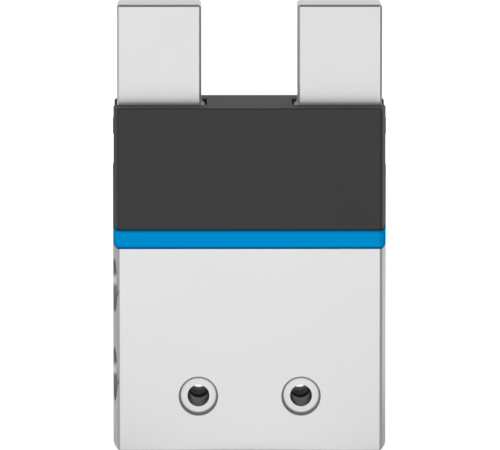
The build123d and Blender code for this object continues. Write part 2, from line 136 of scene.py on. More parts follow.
def stretched(tree, coords, scale):
    """The coordinates multiplied by a factor along each axis."""
    mapping = tree.nodes.new("ShaderNodeMapping")
    mapping.inputs["Scale"].default_value = scale
    wire(tree, coords, mapping.inputs["Vector"])
    return mapping.outputs["Vector"]


def noise(tree, coords, scale, detail=2.0, rough=0.5):
    """Fractal noise with its cell size as one over the scale."""
    node = tree.nodes.new("ShaderNodeTexNoise")
    node.inputs["Scale"].default_value = scale
    node.inputs["Detail"].default_value = detail
    node.inputs["Roughness"].default_value = rough
    wire(tree, coords, node.inputs["Vector"])
    return node.outputs["Fac"]


def spread(tree, value, low, high):
    """Noise between 0.3 and 0.7 carried to the range from low to high."""
    node = tree.nodes.new("ShaderNodeMapRange")
    node.inputs["From Min"].default_value = 0.3
    node.inputs["From Max"].default_value = 0.7
    node.inputs["To Min"].default_value = low
    node.inputs["To Max"].default_value = high
    wire(tree, value, node.inputs["Value"])
    return node.outputs["Result"]


def tint(tree, value, dark, light):
    """Colour between dark and light, chosen by a value from 0 to 1."""
    node = tree.nodes.new("ShaderNodeMix")
    node.data_type = "RGBA"
    node.inputs[6].default_value = (*dark, 1.0)
    node.inputs[7].default_value = (*light, 1.0)
    wire(tree, value, node.inputs[0])
    return node.outputs[2]


def bump(tree, shader, height, distance, strength=1.0):
    """Height field in metres that tilts the shading normal."""
    node = tree.nodes.new("ShaderNodeBump")
    node.inputs["Distance"].default_value = distance
    node.inputs["Strength"].default_value = strength
    wire(tree, height, node.inputs["Height"])
    wire(tree, node.outputs["Normal"], shader.inputs["Normal"])


def shade(colour, factor):
    return tuple(min(1.0, c * factor) for c in colour)


def figured(tree, operation, first, second=0.0, third=0.0):
    """Math node on up to three values, each a socket or a number."""
    node = tree.nodes.new("ShaderNodeMath")
    node.operation = operation
    for place, value in zip(node.inputs, (first, second, third)):
        if isinstance(value, float):
            place.default_value = value
        else:
            wire(tree, value, place)
    return node.outputs[0]


FINISHES = {}
SLOW_SCALE = 60.0


def finish_of(name, colour, roughness, metallic, grain, grain_depth, stretch=(1, 1, 1), swing=0.02,
              rough_swing=0.04, specular=0.5, darken=None):
    """One finish: base colour with slow variation, roughness with its own, and a fine grain as bump."""
    material, tree, shader, coords = new_material(name + "_finish")
    slow = spread(tree, noise(tree, coords, SLOW_SCALE, detail=3.0), 0.0, 1.0)
    hue = tint(tree, slow, shade(colour, 1 - swing), shade(colour, 1 + swing))
    shader.inputs["Metallic"].default_value = metallic
    shader.inputs["Specular IOR Level"].default_value = specular
    # darken gives a factor of painted shade and highlights; it scales the base colour, and the metallic and
    # specular levels where they are not zero.
    if darken:
        factor = darken(tree, coords)
        hue = scaled(tree, hue, factor)
        if metallic:
            wire(tree, figured(tree, "MULTIPLY", factor, metallic), shader.inputs["Metallic"])
        if specular:
            wire(tree, figured(tree, "MULTIPLY", factor, specular), shader.inputs["Specular IOR Level"])
    wire(tree, hue, shader.inputs["Base Color"])
    fine_coords = stretched(tree, coords, stretch)
    fine = noise(tree, fine_coords, grain, detail=3.0, rough=0.6)
    rough = spread(tree, fine, roughness - rough_swing, roughness + rough_swing)
    wire(tree, rough, shader.inputs["Roughness"])
    bump(tree, shader, fine, grain_depth)
    FINISHES[name] = material


# %% [markdown]
# ## Painted shade and highlights that follow the shape
# Three finishes know where they are, and their colour carries painted light. The front holes, the side ports
# and the corners of the body get painted shade, with a painted highlight left across the middle of each port's
# seat wall. The blue band gets painted shade over its rounded rims and a painted sheen where it turns round
# the sides. The fingers get painted shade at the foot and along the gap between them. Each mark is worked out
# from a distance in object coordinates, so it holds from every side.

# %% Masks
def scaled(tree, colour, value):
    """Colour times a value."""
    node = tree.nodes.new("ShaderNodeVectorMath")
    node.operation = "SCALE"
    wire(tree, colour, node.inputs[0])
    wire(tree, value, node.inputs["Scale"])
    return node.outputs[0]


def step_up(tree, value, low, high):
    """0 below low and 1 above high, smooth between."""
    node = tree.nodes.new("ShaderNodeMapRange")
    node.interpolation_type = "SMOOTHSTEP"
    node.inputs["From Min"].default_value = low
    node.inputs["From Max"].default_value = high
    wire(tree, value, node.inputs["Value"])
    return node.outputs["Result"]


def axis_distance(tree, first, second, at_first, at_second):
    """Distance from an axis that crosses two coordinates at the given values."""
    a = figured(tree, "SUBTRACT", first, at_first)
    b = figured(tree, "SUBTRACT", second, at_second)
    return figured(tree, "SQRT", figured(tree, "MULTIPLY_ADD", a, a, figured(tree, "MULTIPLY", b, b)))


def within(tree, value, low, high, soft=0.03 * MM):
    """1 between low and high, with soft ends."""
    above = step_up(tree, value, low - soft, low + soft)
    below = figured(tree, "SUBTRACT", 1.0, step_up(tree, value, high - soft, high + soft))
    return figured(tree, "MULTIPLY", above, below)


def product(tree, first, *others):
    """All the values multiplied."""
    for value in others:
        first = figured(tree, "MULTIPLY", first, value)
    return first


def without(tree, mark, depth):
    """Factor of one mark: 1 outside it and 1 - depth on it."""
    return figured(tree, "MULTIPLY_ADD", mark, -depth, 1.0)


def axes(tree, coords):
    """The three coordinates, each by itself."""
    node = tree.nodes.new("ShaderNodeSeparateXYZ")
    wire(tree, coords, node.inputs[0])
    return node.outputs


# %% Painted shade of the body
ANY = -1.0
CRISP = 0.01 * MM
# Painted shade in the front holes: the near, plain half of each bore, and a rim that widens towards the
# bottom.
BORE_START, BORE_END, BORE_RADIUS = FRONT + 1.36 * MM, 5.0 * MM, 3.75 * MM
RIM_FADE, RIM_LEVEL = (4.5 * MM, 5.1 * MM), (18.0 * MM, 19.0 * MM)
RIM_RADIUS, RIM_SHIFT = 5.37 * MM, 0.3 * MM
CORNER_X, CORNER_Y = (35.35 * MM, 35.5 * MM), (19.5 * MM, 19.9 * MM)
# Painted shade in the side ports: on the seat's wall, its face and the thread; a height band across the wall
# near the middle is left unshaded, as a painted highlight.
SPOTFACE_EDGE, SPOTFACE_RADIUS = 7.1 * MM, 7.4 * MM
PORT_THREAD_RADIUS, PORT_THREAD_END = 4.6 * MM, -20.0 * MM
PORT_PAINTED_HIGHLIGHT = (-0.7 * MM, 1.9 * MM, 0.9 * MM)
# Depths of the painted shade, as fractions of the body's colour: bore, rim, corners, port wall, port seat and
# thread.
BORE_DARK, RIM_DARK, CORNER_DARK, PORT_DARK, SEAT_DARK = 0.8, 0.74, 0.4, 0.66, 0.3


def hole_painted_shade(tree, aside, y, z):
    """Painted shade of the front holes: on the plain half of each bore, and on a rim that widens towards the
    bottom.
    """
    hole = mounts["cross_bolts"]
    hole_x, hole_z = hole["dims"]["spacing_x_mm"] * MM / 2, hole["pos_m"][2]
    from_hole = axis_distance(tree, aside, z, hole_x, hole_z)
    from_raised = axis_distance(tree, aside, z, hole_x, hole_z + RIM_SHIFT)
    bore = product(tree, within(tree, from_hole, ANY, BORE_RADIUS), within(tree, y, BORE_START, BORE_END))
    rim = product(tree, step_up(tree, from_raised, *RIM_FADE), within(tree, from_hole, ANY, RIM_RADIUS),
                  step_up(tree, figured(tree, "ABSOLUTE", y), *RIM_LEVEL))
    return [(bore, BORE_DARK), (rim, RIM_DARK)]


def port_painted_shade(tree, x, y, z, port):
    """Painted shade of a side port: on its seat, its thread, and the seat's wall, which keeps its full colour
    in a band near the middle as a painted highlight.
    """
    seat = port["pos_m"][0] - port["dims"]["length_mm"] * MM / 2
    from_port = axis_distance(tree, y, z, port["pos_m"][1], port["pos_m"][2])
    above = figured(tree, "SUBTRACT", z, port["pos_m"][2])
    wall = product(tree, within(tree, from_port, SPOTFACE_EDGE, SPOTFACE_RADIUS),
                   within(tree, x, ANY, seat - 4 * CRISP, CRISP),
                   without(tree, within(tree, above, *PORT_PAINTED_HIGHLIGHT), 1.0))
    face = product(tree, within(tree, from_port, ANY, SPOTFACE_EDGE),
                   within(tree, x, ANY, seat + 2 * CRISP, CRISP))
    thread = product(tree, within(tree, from_port, ANY, PORT_THREAD_RADIUS),
                     within(tree, x, seat + 2 * CRISP, PORT_THREAD_END, CRISP))
    return [(wall, PORT_DARK), (face, SEAT_DARK), (thread, SEAT_DARK)]


def body_painted_shade(tree, coords):
    """Factor of the body's colour: the factors of all its painted shade marks multiplied."""
    x, y, z = axes(tree, coords)
    aside, deep = figured(tree, "ABSOLUTE", x), figured(tree, "ABSOLUTE", y)
    # Painted shade on the body's four upright corners.
    corner = product(tree, step_up(tree, aside, *CORNER_X), step_up(tree, deep, *CORNER_Y))
    marks = hole_painted_shade(tree, aside, y, z) + [(corner, CORNER_DARK)]
    for name in ("upper_port", "lower_port"):
        marks += port_painted_shade(tree, x, y, z, mounts[name])
    return product(tree, 1.0, *[without(tree, mark, depth) for mark, depth in marks])


# %% Painted shade and sheen of the jaws and the band
# Painted shade on the fingers: at the foot of the front, where it meets the cap, and on the chamfers at the
# gap.
FOOT_HEIGHTS, FINGER_FRONT = (-0.5 * MM, 0.6 * MM, 0.5 * MM), (9.3 * MM, 9.45 * MM)
GAP_CHAMFER, GAP_FRONT = 13.75 * MM, (8.9 * MM, 9.0 * MM)
FOOT_DARK, GAP_DARK = 0.65, 0.26
# Painted shade over the band's rounded rims, and a painted sheen where it turns round the sides.
BAND_TOP_FADE, BAND_LOW_FADE = (0.1 * MM, 1.25 * MM), (-0.05 * MM, 1.0 * MM)
BAND_SIDE = (35.8 * MM, 36.2 * MM)
BAND_RIM, BAND_SIDE_GAIN = 0.16, 0.5


def jaw_painted_shade(tree, coords):
    """Factor of the jaws' colour: painted shade at the foot of a finger's front and on the chamfers at the
    gap.
    """
    x, y, z = axes(tree, coords)
    deep = figured(tree, "ABSOLUTE", y)
    above_cap = figured(tree, "SUBTRACT", z, float(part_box("guide_cap")[1].z))
    foot = product(tree, within(tree, above_cap, *FOOT_HEIGHTS), step_up(tree, deep, *FINGER_FRONT))
    gap = product(tree, within(tree, figured(tree, "ABSOLUTE", x), ANY, GAP_CHAMFER),
                  step_up(tree, deep, *GAP_FRONT))
    return product(tree, without(tree, foot, FOOT_DARK), without(tree, gap, GAP_DARK))


def band_painted_shade_and_sheen(tree, coords):
    """Factor of the band's colour: painted shade down to a sixth at each rim, and a painted sheen of half as
    much again where it turns the sides.
    """
    low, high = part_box("trim_band")
    x, _, z = axes(tree, coords)
    top = step_up(tree, figured(tree, "SUBTRACT", float(high.z), z), *BAND_TOP_FADE)
    bottom = step_up(tree, figured(tree, "SUBTRACT", z, float(low.z)), *BAND_LOW_FADE)
    rims = figured(tree, "MULTIPLY_ADD", product(tree, top, bottom), 1.0 - BAND_RIM, BAND_RIM)
    side = step_up(tree, figured(tree, "ABSOLUTE", x), *BAND_SIDE)
    return product(tree, rims, figured(tree, "MULTIPLY_ADD", side, BAND_SIDE_GAIN, 1.0))


# %% [markdown]
# ## The finishes
# The body is clear anodised aluminium, which is satin and almost without grain. The cap is hard anodised: a
# dark, matt, slightly mottled grey. The jaws are ground steel, so their grain runs along the travel.

# %% Finishes
finish_of("anodised_body", (0.75, 0.75, 0.757), roughness=0.34, metallic=0.5, grain=5000.0,
          grain_depth=0.6e-6, swing=0.006, specular=0.3, darken=body_painted_shade)
finish_of("dark_anodised", (0.0388, 0.0388, 0.0392), roughness=0.58, metallic=0.0, grain=6000.0,
          grain_depth=1.0e-6, swing=0.02, specular=0.25)
finish_of("blue_band", (0.0002, 0.285, 0.665), roughness=0.5, metallic=0.0, grain=4000.0,
          grain_depth=0.6e-6, swing=0.01, specular=0.0, darken=band_painted_shade_and_sheen)
finish_of("jaw_steel", (0.668, 0.668, 0.665), roughness=0.3, metallic=0.9, grain=4000.0,
          grain_depth=0.08e-6, stretch=(0.03, 1, 1), swing=0.006, rough_swing=0.02, darken=jaw_painted_shade)

INNER_FINISHES = (
    # name, colour, roughness, metallic, grain, depth of the grain, stretch of the grain, swing of the colour
    ("hardened_steel", (0.3, 0.3, 0.31), 0.35, 0.9, 3000.0, 1.5e-6, (1, 1, 1), 0.08),
    ("ground_steel", (0.6, 0.6, 0.61), 0.2, 1.0, 5000.0, 0.6e-6, (1, 0.04, 1), 0.02),
    ("bronze", (0.5, 0.31, 0.13), 0.4, 0.9, 2500.0, 3.0e-6, (1, 1, 1), 0.12),
    ("black_screw", (0.03, 0.03, 0.033), 0.38, 0.4, 4000.0, 1.5e-6, (1, 1, 1), 0.15),
    ("zinc_steel", (0.5, 0.52, 0.55), 0.33, 0.95, 3500.0, 1.5e-6, (1, 1, 1), 0.06),
    ("piston_aluminium", (0.6, 0.6, 0.61), 0.3, 0.95, 4000.0, 1.0e-6, (0.2, 0.2, 1), 0.02),
    ("seal_rubber", (0.018, 0.018, 0.019), 0.55, 0.0, 4000.0, 3.0e-6, (1, 1, 1), 0.2),
    ("bumper_rubber", (0.055, 0.02, 0.012), 0.5, 0.0, 3000.0, 3.0e-6, (1, 1, 1), 0.15),
    ("magnet_compound", (0.05, 0.05, 0.055), 0.6, 0.0, 6000.0, 4.0e-6, (1, 1, 1), 0.2),
    ("wear_plastic", (0.15, 0.09, 0.045), 0.55, 0.0, 3000.0, 3.0e-6, (1, 1, 1), 0.12),
    ("wiper_plastic", (0.04, 0.18, 0.09), 0.45, 0.0, 3000.0, 2.0e-6, (1, 1, 1), 0.1),
)
for name, colour, roughness, metallic, grain, grain_depth, stretch, swing in INNER_FINISHES:
    finish_of(name, colour, roughness, metallic, grain, grain_depth, stretch, swing)

for row in frame["record"]["subparts"]:
    node = nodes[row["node"]]
    for place in node.material_slots:
        place.material = FINISHES[row["material_slot"]]
print("finishes given to", len(nodes), "nodes")


# %% [markdown]
# ## Surfaces from formulas
# A turned or threaded piece is a profile carried round an axis. With numpy the whole grid of points is one
# array expression, so a change of formula is one line, and the faces come from the grid's own numbering.

# %% Grid meshes
def grid_faces(rows, columns, first, around, along):
    """Quads between neighbours of a grid numbered from first; around and along close the grid."""
    index = first + np.arange(rows * columns).reshape(rows, columns)
    if around:
        index = np.concatenate([index, index[:, :1]], axis=1)
    if along:
        index = np.concatenate([index, index[:1]], axis=0)
    corners = [index[:-1, :-1], index[:-1, 1:], index[1:, 1:], index[1:, :-1]]
    return np.stack(corners, axis=-1).reshape(-1, 4)


def mesh_of(name, grids, around=True, along=False, caps=False):
    """One mesh of several point grids (rows, columns, xyz); caps closes the first and last row of each."""
    points, faces, first = [], [], 0
    for grid in grids:
        rows, columns = grid.shape[:2]
        points.append(grid.reshape(-1, 3))
        faces += grid_faces(rows, columns, first, around, along).tolist()
        if caps:
            faces += [list(range(first, first + columns)),
                      list(range(first + (rows - 1) * columns, first + rows * columns))]
        first += rows * columns
    mesh = bpy.data.meshes.new(name)
    mesh.from_pydata(np.concatenate(points).tolist(), [], faces)
    return mesh


def closed(mesh, crease=35.0):
    """Merges points that meet at seams and poles, turns faces outwards and marks the sharp edges."""
    work = bmesh.new()
    work.from_mesh(mesh)
    bmesh.ops.remove_doubles(work, verts=work.verts, dist=MERGE_DISTANCE)
    bmesh.ops.dissolve_degenerate(work, dist=MERGE_DISTANCE / 2, edges=work.edges)
    bmesh.ops.recalc_face_normals(work, faces=work.faces)
    work.to_mesh(mesh)
    work.free()
    mesh.shade_smooth()
    mesh.set_sharp_from_angle(angle=math.radians(crease))
    return mesh


def add_piece(mesh, body, slot, *replaced):
    """Object of the mesh with its finish, riding on a body and standing for the nodes named."""
    piece = bpy.data.objects.new(mesh.name, mesh)
    bpy.context.scene.collection.objects.link(piece)
    mesh.materials.append(FINISHES[slot])
    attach(piece, body)
    if replaced:
        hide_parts(*replaced)
    print(mesh.name, len(mesh.polygons), "faces on", body)
    return piece


def stood(points, origin, axis):
    """Points of a shape along local z, turned so that z lies along the axis, and moved to the origin."""
    turn = Vector(axis).to_track_quat("Z", "Y").to_matrix()
    return points @ np.array(turn).T + np.array(origin)


def turned(radii, heights):
    """Grid of a turned surface: radii (rows, columns) or (rows,) about z at heights (rows,)."""
    radii = np.atleast_2d(np.asarray(radii, float).T).T
    if radii.shape[1] == 1:
        radii = np.repeat(radii, ROUND, axis=1)
    angle = np.arange(radii.shape[1]) * 2 * np.pi / radii.shape[1]
    heights = np.broadcast_to(np.asarray(heights, float).reshape(len(radii), -1), radii.shape)
    return np.stack([radii * np.cos(angle), radii * np.sin(angle), heights], axis=-1)


ROUND = 72
MERGE_DISTANCE = 2e-7
MACHINED_CREASE = 25.0
CONE_SLOPE = 0.577


# %% [markdown]
# ## Threads in the holes
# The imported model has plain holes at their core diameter. A thread shows as a fine spiral of light, so each
# hole gets a helical ridge of triangular section that stands out of the wall and runs out to nothing at its
# ends. The places come from the record's own mounts.

# %% Thread ridges
def thread_ridge(radius, pitch, length, height):
    """Helix along z: its section is a triangle with its base in the wall and its crest inside the hole.

    Angle grows by a full turn per pitch; the section's size follows a ramp that is 0 at both ends.
    """
    turns = length / pitch - 1
    along = np.linspace(0, 1, int(turns * POINTS_PER_TURN) + 1)
    angle = 2 * np.pi * turns * along
    size = np.clip(np.minimum(along, 1 - along) * turns / RUN_OUT, 0.0, 1.0)
    middle = pitch / 2 + pitch * turns * along
    inset = np.array([-WALL_BITE, height, -WALL_BITE])
    lift = np.array([-HALF_BASE, 0.0, HALF_BASE]) * pitch
    radii = radius - inset * size[:, None] - WALL_BITE * (1 - size[:, None])
    heights = middle[:, None] + lift * size[:, None]
    turn = angle[:, None]
    return np.stack([radii * np.cos(turn), radii * np.sin(turn), heights], axis=-1)


WALL_BITE = 0.03 * MM
POINTS_PER_TURN = 36
RUN_OUT = 0.6
HALF_BASE = 0.42


def ridges_at(name, places, axis, radius, pitch, length, height, body, slot):
    """Threads of one size that start at each place and run inwards, against the axis."""
    ridge = thread_ridge(radius, pitch, length, height)
    grids = [stood(ridge, place, [-a for a in axis]) for place in places]
    return add_piece(closed(mesh_of(name, grids, around=True, caps=True), 50.0), body, slot)


# %% Threads of the ports, the bottom and the jaws
for name in ("upper_port", "lower_port"):
    port = mounts[name]
    start = Vector(port["pos_m"]) + Vector(port["axis"]) * port["dims"]["length_mm"] * MM / 2
    ridges_at(name + "_thread", [start], port["axis"], port["dims"]["r_mm"] * MM, pitch=0.907 * MM,
              length=port["dims"]["length_mm"] * MM, height=0.42 * MM, body="gripper_body",
              slot="anodised_body")

BASE_THREAD_START, BASE_THREAD_TOP = 1.7 * MM, 11.4 * MM
JAW_THREAD_START, CROSS_THREAD_START = 0.3 * MM, 1.6 * MM
base = mounts["base_bolts"]["dims"]
base_places = [(side * base["spacing_x_mm"] * MM / 2, 0.0, BASE_THREAD_START) for side in (-1, 1)]
ridges_at("base_threads", base_places, (0, 0, -1), base["hole_r_mm"] * MM, pitch=1.0 * MM,
          length=BASE_THREAD_TOP - BASE_THREAD_START, height=0.4 * MM, body="gripper_body",
          slot="anodised_body")

for side, jaw in ((-1, "left_jaw"), (1, "right_jaw")):
    bolts = mounts[jaw + "_bolts"]
    rise = bolts["dims"]["spacing_y_mm"] * MM / 2
    face, centre = bolts["pos_m"][0], bolts["pos_m"][2]
    places = [(face - side * JAW_THREAD_START, 0.0, centre + k * rise) for k in (-1, 1)]
    ridges_at(jaw + "_threads", places, (side, 0, 0), bolts["dims"]["hole_r_mm"] * MM, pitch=0.8 * MM,
              length=22.4 * MM, height=0.32 * MM, body=jaw + "_slider", slot="jaw_steel")

cross = mounts["cross_bolts"]
cross_x = cross["dims"]["spacing_x_mm"] * MM / 2
cross_places = [(k * cross_x, -FRONT - CROSS_THREAD_START, cross["pos_m"][2]) for k in (-1, 1)]
ridges_at("mount_threads", cross_places, (0, 1, 0), cross["dims"]["hole_r_mm"] * MM, pitch=1.0 * MM,
          length=14.2 * MM, height=0.22 * MM, body="gripper_body", slot="anodised_body")


# %% [markdown]
# ## Socket screws and thread plugs
# A socket screw is turned, knurled and punched: one grid does it all, because along its profile the radius
# may depend on the angle. It is the hexagon's inside the socket, a zigzag on the knurl and a spiral wave on
# the thread.

# %% Profiles with a hexagon
turn_angles = np.arange(ROUND) * 2 * np.pi / ROUND


def hexagon(flats):
    """Radius of a hexagon at each angle: half the flats over the cosine of the angle to the nearest flat."""
    from_flat = (turn_angles + np.pi / 6) % (np.pi / 3) - np.pi / 6
    return flats / 2 / np.cos(from_flat)


def around(value):
    return np.full(ROUND, value)


def threaded(radius, pitch, depth, low, high, rows_per_pitch=5):
    """Rows of an outer thread: the radius dips by a sawtooth-shaped wave of height and angle together."""
    rows = max(2, int((high - low) / pitch * rows_per_pitch))
    heights = np.linspace(low, high, rows)
    phase = (heights[:, None] / pitch - turn_angles / (2 * np.pi)) % 1.0
    run_out = np.clip(np.minimum(heights - low, high - heights) / (0.8 * pitch), 0, 1)[:, None]
    return radius - depth * run_out * np.abs(2 * phase - 1), heights


def socket_screw(seat, top, head_diameter=7.0 * MM, head_height=4.0 * MM, shank=4.0 * MM, hex_size=3.0 * MM,
                 hex_depth=2.0 * MM, grip=10.0 * MM):
    """Screw, head down: socket floor, socket wall, face, knurled rim, shank and thread in one grid."""
    floor = seat - head_height
    socket = hexagon(hex_size)
    knurl = head_diameter / 2 - 0.12 * MM * (np.arange(ROUND) % 2)
    thread_radii, thread_heights = threaded(shank / 2, 0.7 * MM, 0.42 * MM, top - grip, top - 0.5 * MM)
    radii = [around(0.0), socket * 0.55, socket, socket, around(hex_size * 0.62),
             around(head_diameter / 2 - 0.5 * MM), knurl - 0.12 * MM, knurl, knurl, knurl - 0.2 * MM,
             around(shank / 2), around(shank / 2)]
    heights = [floor + hex_depth + 0.6 * MM, floor + hex_depth + 0.25 * MM, floor + hex_depth,
               floor + 0.25 * MM,
               floor, floor, floor + 0.35 * MM, floor + 0.55 * MM, seat - 0.25 * MM, seat, seat,
               top - grip - 0.01 * MM]
    radii = np.concatenate([np.array(radii), thread_radii, [around(shank / 2 - 0.5 * MM)], [around(0.0)]])
    heights = np.concatenate([heights, thread_heights, [top, top]])
    return turned(radii, heights)


# %% Screws under the body
low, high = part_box("cap_screws")
head_radius, head_height = 3.5 * MM, 4.0 * MM
screw_grid = socket_screw(low.z + head_height, high.z)
screw_places = [(i, j, 0.0) for i in (low.x + head_radius, high.x - head_radius)
                for j in (low.y + head_radius, high.y - head_radius)]
screws = [screw_grid + np.array(place) for place in screw_places]
screw_mesh = closed(mesh_of("socket_screws", screws), MACHINED_CREASE)
add_piece(screw_mesh, "gripper_body", "zinc_steel", "cap_screws")


# %% Plugs at the back
def thread_plug(diameter, length, hex_size, hex_depth):
    """Headless plug along z, open socket at the top: floor, thread, rim, socket wall and socket floor."""
    thread_radii, thread_heights = threaded(diameter / 2, 1.0 * MM, 0.5 * MM, 0.4 * MM, length - 0.4 * MM)
    socket = hexagon(hex_size)
    radii = np.concatenate([
        [around(0.0), around(diameter / 2 - 0.6 * MM)], thread_radii,
        [around(diameter / 2 - 0.6 * MM), around(hex_size * 0.62), socket, socket, around(0.0)]])
    heights = np.concatenate([
        [0.0, 0.0], thread_heights,
        [length, length, length - 0.3 * MM, length - hex_depth, length - hex_depth - 0.7 * MM]])
    return turned(radii, heights)


low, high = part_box("pin_plugs")
plug_radius = (high.z - low.z) / 2
plug = thread_plug(2 * plug_radius, high.y - low.y, 4.0 * MM, 3.0 * MM)
plug_places = [(x, low.y, (low.z + high.z) / 2) for x in (low.x + plug_radius, high.x - plug_radius)]
plugs = [stood(plug, place, (0, 1, 0)) for place in plug_places]
plug_mesh = closed(mesh_of("thread_plugs", plugs), MACHINED_CREASE)
add_piece(plug_mesh, "gripper_body", "black_screw", "pin_plugs")


# %% [markdown]
# ## Seals with lips
# A rubber seal works through its lips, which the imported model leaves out. Each seal here is a section of a
# dozen points, drawn once between its inner and outer wall and carried round the axis.

# %% Lip seals
def carried_round(section, columns=96):
    """Closed section of (radius, height) points carried round z."""
    section = np.asarray(section)
    radii = np.repeat(section[:, :1], columns, axis=1)
    return turned(radii, section[:, 1])


def lip_section(inner, outer, low, high):
    """Two lips that open towards high: the groove between them is just over half as deep as the seal."""
    wide, tall = outer - inner, high - low
    across = np.array([0.08, 0.9, 0.95, 0.9, 1.0, 0.93, 0.8, 0.62, 0.5, 0.38, 0.2, 0.07, 0.0, 0.1, 0.06])
    up = np.array([0.0, 0.0, 0.12, 0.5, 0.86, 1.0, 0.98, 0.5, 0.42, 0.5, 0.98, 1.0, 0.86, 0.5, 0.12])
    return np.stack([inner + wide * across, low + tall * up], axis=1)


def ring_piece(name, sections, body, slot, *replaced):
    """Rings on the z axis, one per section."""
    grids = [carried_round(section) for section in sections]
    return add_piece(closed(mesh_of(name, grids, around=True, along=True), 40.0), body, slot, *replaced)


ROD_RADIUS = 6.05 * MM
low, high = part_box("rod_seal")
ring_piece("rod_lip_seal", [lip_section(ROD_RADIUS, high.x, high.z, low.z)], "gripper_body", "seal_rubber",
           "rod_seal")
low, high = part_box("rod_wiper")
ring_piece("wiper_lip", [lip_section(ROD_RADIUS, high.x, low.z, high.z)], "gripper_body", "wiper_plastic",
           "rod_wiper")
low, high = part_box("piston_seals")
ring_height, groove_radius = 2.1 * MM, 13.75 * MM
seal_sections = [lip_section(groove_radius, high.x, low.z + ring_height, low.z),
                 lip_section(groove_radius, high.x, high.z - ring_height, high.z)]
ring_piece("piston_lip_seals", seal_sections, "piston_group", "seal_rubber", "piston_seals")


# %% [markdown]
# ## Split rings, nut and pins
# The wear ring is a strip bent round the piston with a slanted gap, and the magnet is split as well. The nut
# has the cone-cut corners of a bought one, and pins and dowels have rounded or chamfered ends.

# %% Split rings
def split_ring(inner, outer, low, high, gap, slant):
    """Ring with a gap: the angle runs from gap/2 to a turn less gap/2 and leans by slant over the height."""
    turn = np.linspace(gap / 2, 2 * np.pi - gap / 2, 121)[:, None]
    radii = np.array([inner, outer, outer, inner])
    heights = np.array([low, low, high, high])
    lean = slant * np.array([-0.5, -0.5, 0.5, 0.5])
    return np.stack([radii * np.cos(turn + lean), radii * np.sin(turn + lean),
                     np.broadcast_to(heights, (len(turn), 4))], axis=-1)


for node_name, piece_name, slot, depth, gap, slant in (
        ("wear_ring", "scarf_ring", "wear_plastic", 1.25 * MM, 0.05, 0.16),
        ("magnet_ring", "split_magnet", "magnet_compound", 1.9 * MM, 0.02, 0.0)):
    low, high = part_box(node_name)
    ring = split_ring(high.x - depth, high.x, low.z, high.z, gap, slant)
    mesh = closed(mesh_of(piece_name, [ring], around=True, caps=True), 40.0)
    piece = add_piece(mesh, "piston_group", slot, node_name)
    edge = piece.modifiers.new("edge", "BEVEL")
    edge.width, edge.segments = 0.12 * MM, 2


# %% Nut under the piston
def cut_nut(flats, bore_radius, low, high):
    """Hexagon nut whose corners a cone cuts: there the rim drops by the slope times the overhang."""
    corner = hexagon(flats)
    drop = CONE_SLOPE * np.clip(corner - flats * 0.475, 0, None)
    rim = around(flats * 0.475)
    radii = np.array([around(bore_radius + 0.4 * MM), around(bore_radius), around(bore_radius),
                      around(bore_radius + 0.4 * MM), rim, corner, corner, rim])
    level = np.array([low, low + 0.4 * MM, high - 0.4 * MM, high, high, high, low, low])
    heights = np.repeat(level[:, None], ROUND, axis=1)
    heights[5] -= drop
    heights[6] += drop
    return turned(radii, heights)


low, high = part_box("piston_nut")
nut = cut_nut(high.y - low.y, 4.05 * MM, low.z, high.z)
nut_mesh = closed(mesh_of("cone_cut_nut", [nut], around=True, along=True), MACHINED_CREASE)
add_piece(nut_mesh, "piston_group", "zinc_steel", "piston_nut")


# %% Pins and dowels
def round_pin(radius, length, chamfer):
    """Pin along z with both ends taken down by a short cone and a crowned face."""
    radii = [0.0, radius * 0.5, radius - chamfer, radius, radius, radius - chamfer, radius * 0.5, 0.0]
    crown = 0.12 * chamfer
    heights = [0.0, crown * 0.4, crown, chamfer]
    heights += [length - height for height in reversed(heights)]
    return turned(radii, heights)


def pin_piece(name, node_name, places, axis, length, radius, chamfer, body):
    pin = round_pin(radius, length, chamfer)
    grids = [stood(pin, place, axis) for place in places]
    add_piece(closed(mesh_of(name, grids), MACHINED_CREASE), body, "ground_steel", node_name)


low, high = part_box("cap_dowels")
dowel_radius = high.y
dowel_places = [(x, 0, low.z) for x in (low.x + dowel_radius, high.x - dowel_radius)]
pin_piece("rounded_dowels", "cap_dowels", dowel_places, (0, 0, 1), high.z - low.z, dowel_radius,
          chamfer=0.5 * MM, body="gripper_body")
low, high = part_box("lever_pins")
pin_radius = (high.z - low.z) / 2
pin_places = [(x, low.y, (low.z + high.z) / 2) for x in (low.x + pin_radius, high.x - pin_radius)]
pin_piece("ground_pins", "lever_pins", pin_places, (0, 1, 0), high.y - low.y, pin_radius,
          chamfer=0.5 * MM, body="gripper_body")
low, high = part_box("crosshead_pin")
pin_piece("cross_pin", "crosshead_pin", [(0, low.y, (low.z + high.z) / 2)], (0, 1, 0), high.y - low.y,
          high.x, chamfer=0.3 * MM, body="piston_group")


# %% [markdown]
# ## Bushes and bumpers
# Sintered bushes have a small chamfer at each mouth, and the moulded bumpers have rounded rims and six
# notches that let the air pass under them.

# %% Bushes and bumpers
def bush_section(inner, outer, low, high, cut):
    """Rectangle between two radii with its four corners cut."""
    radii = [inner + cut, outer - cut, outer, outer, outer - cut, inner + cut, inner, inner]
    heights = [low, low, low + cut, high - cut, high, high, high - cut, low + cut]
    return np.stack([radii, heights], axis=1)


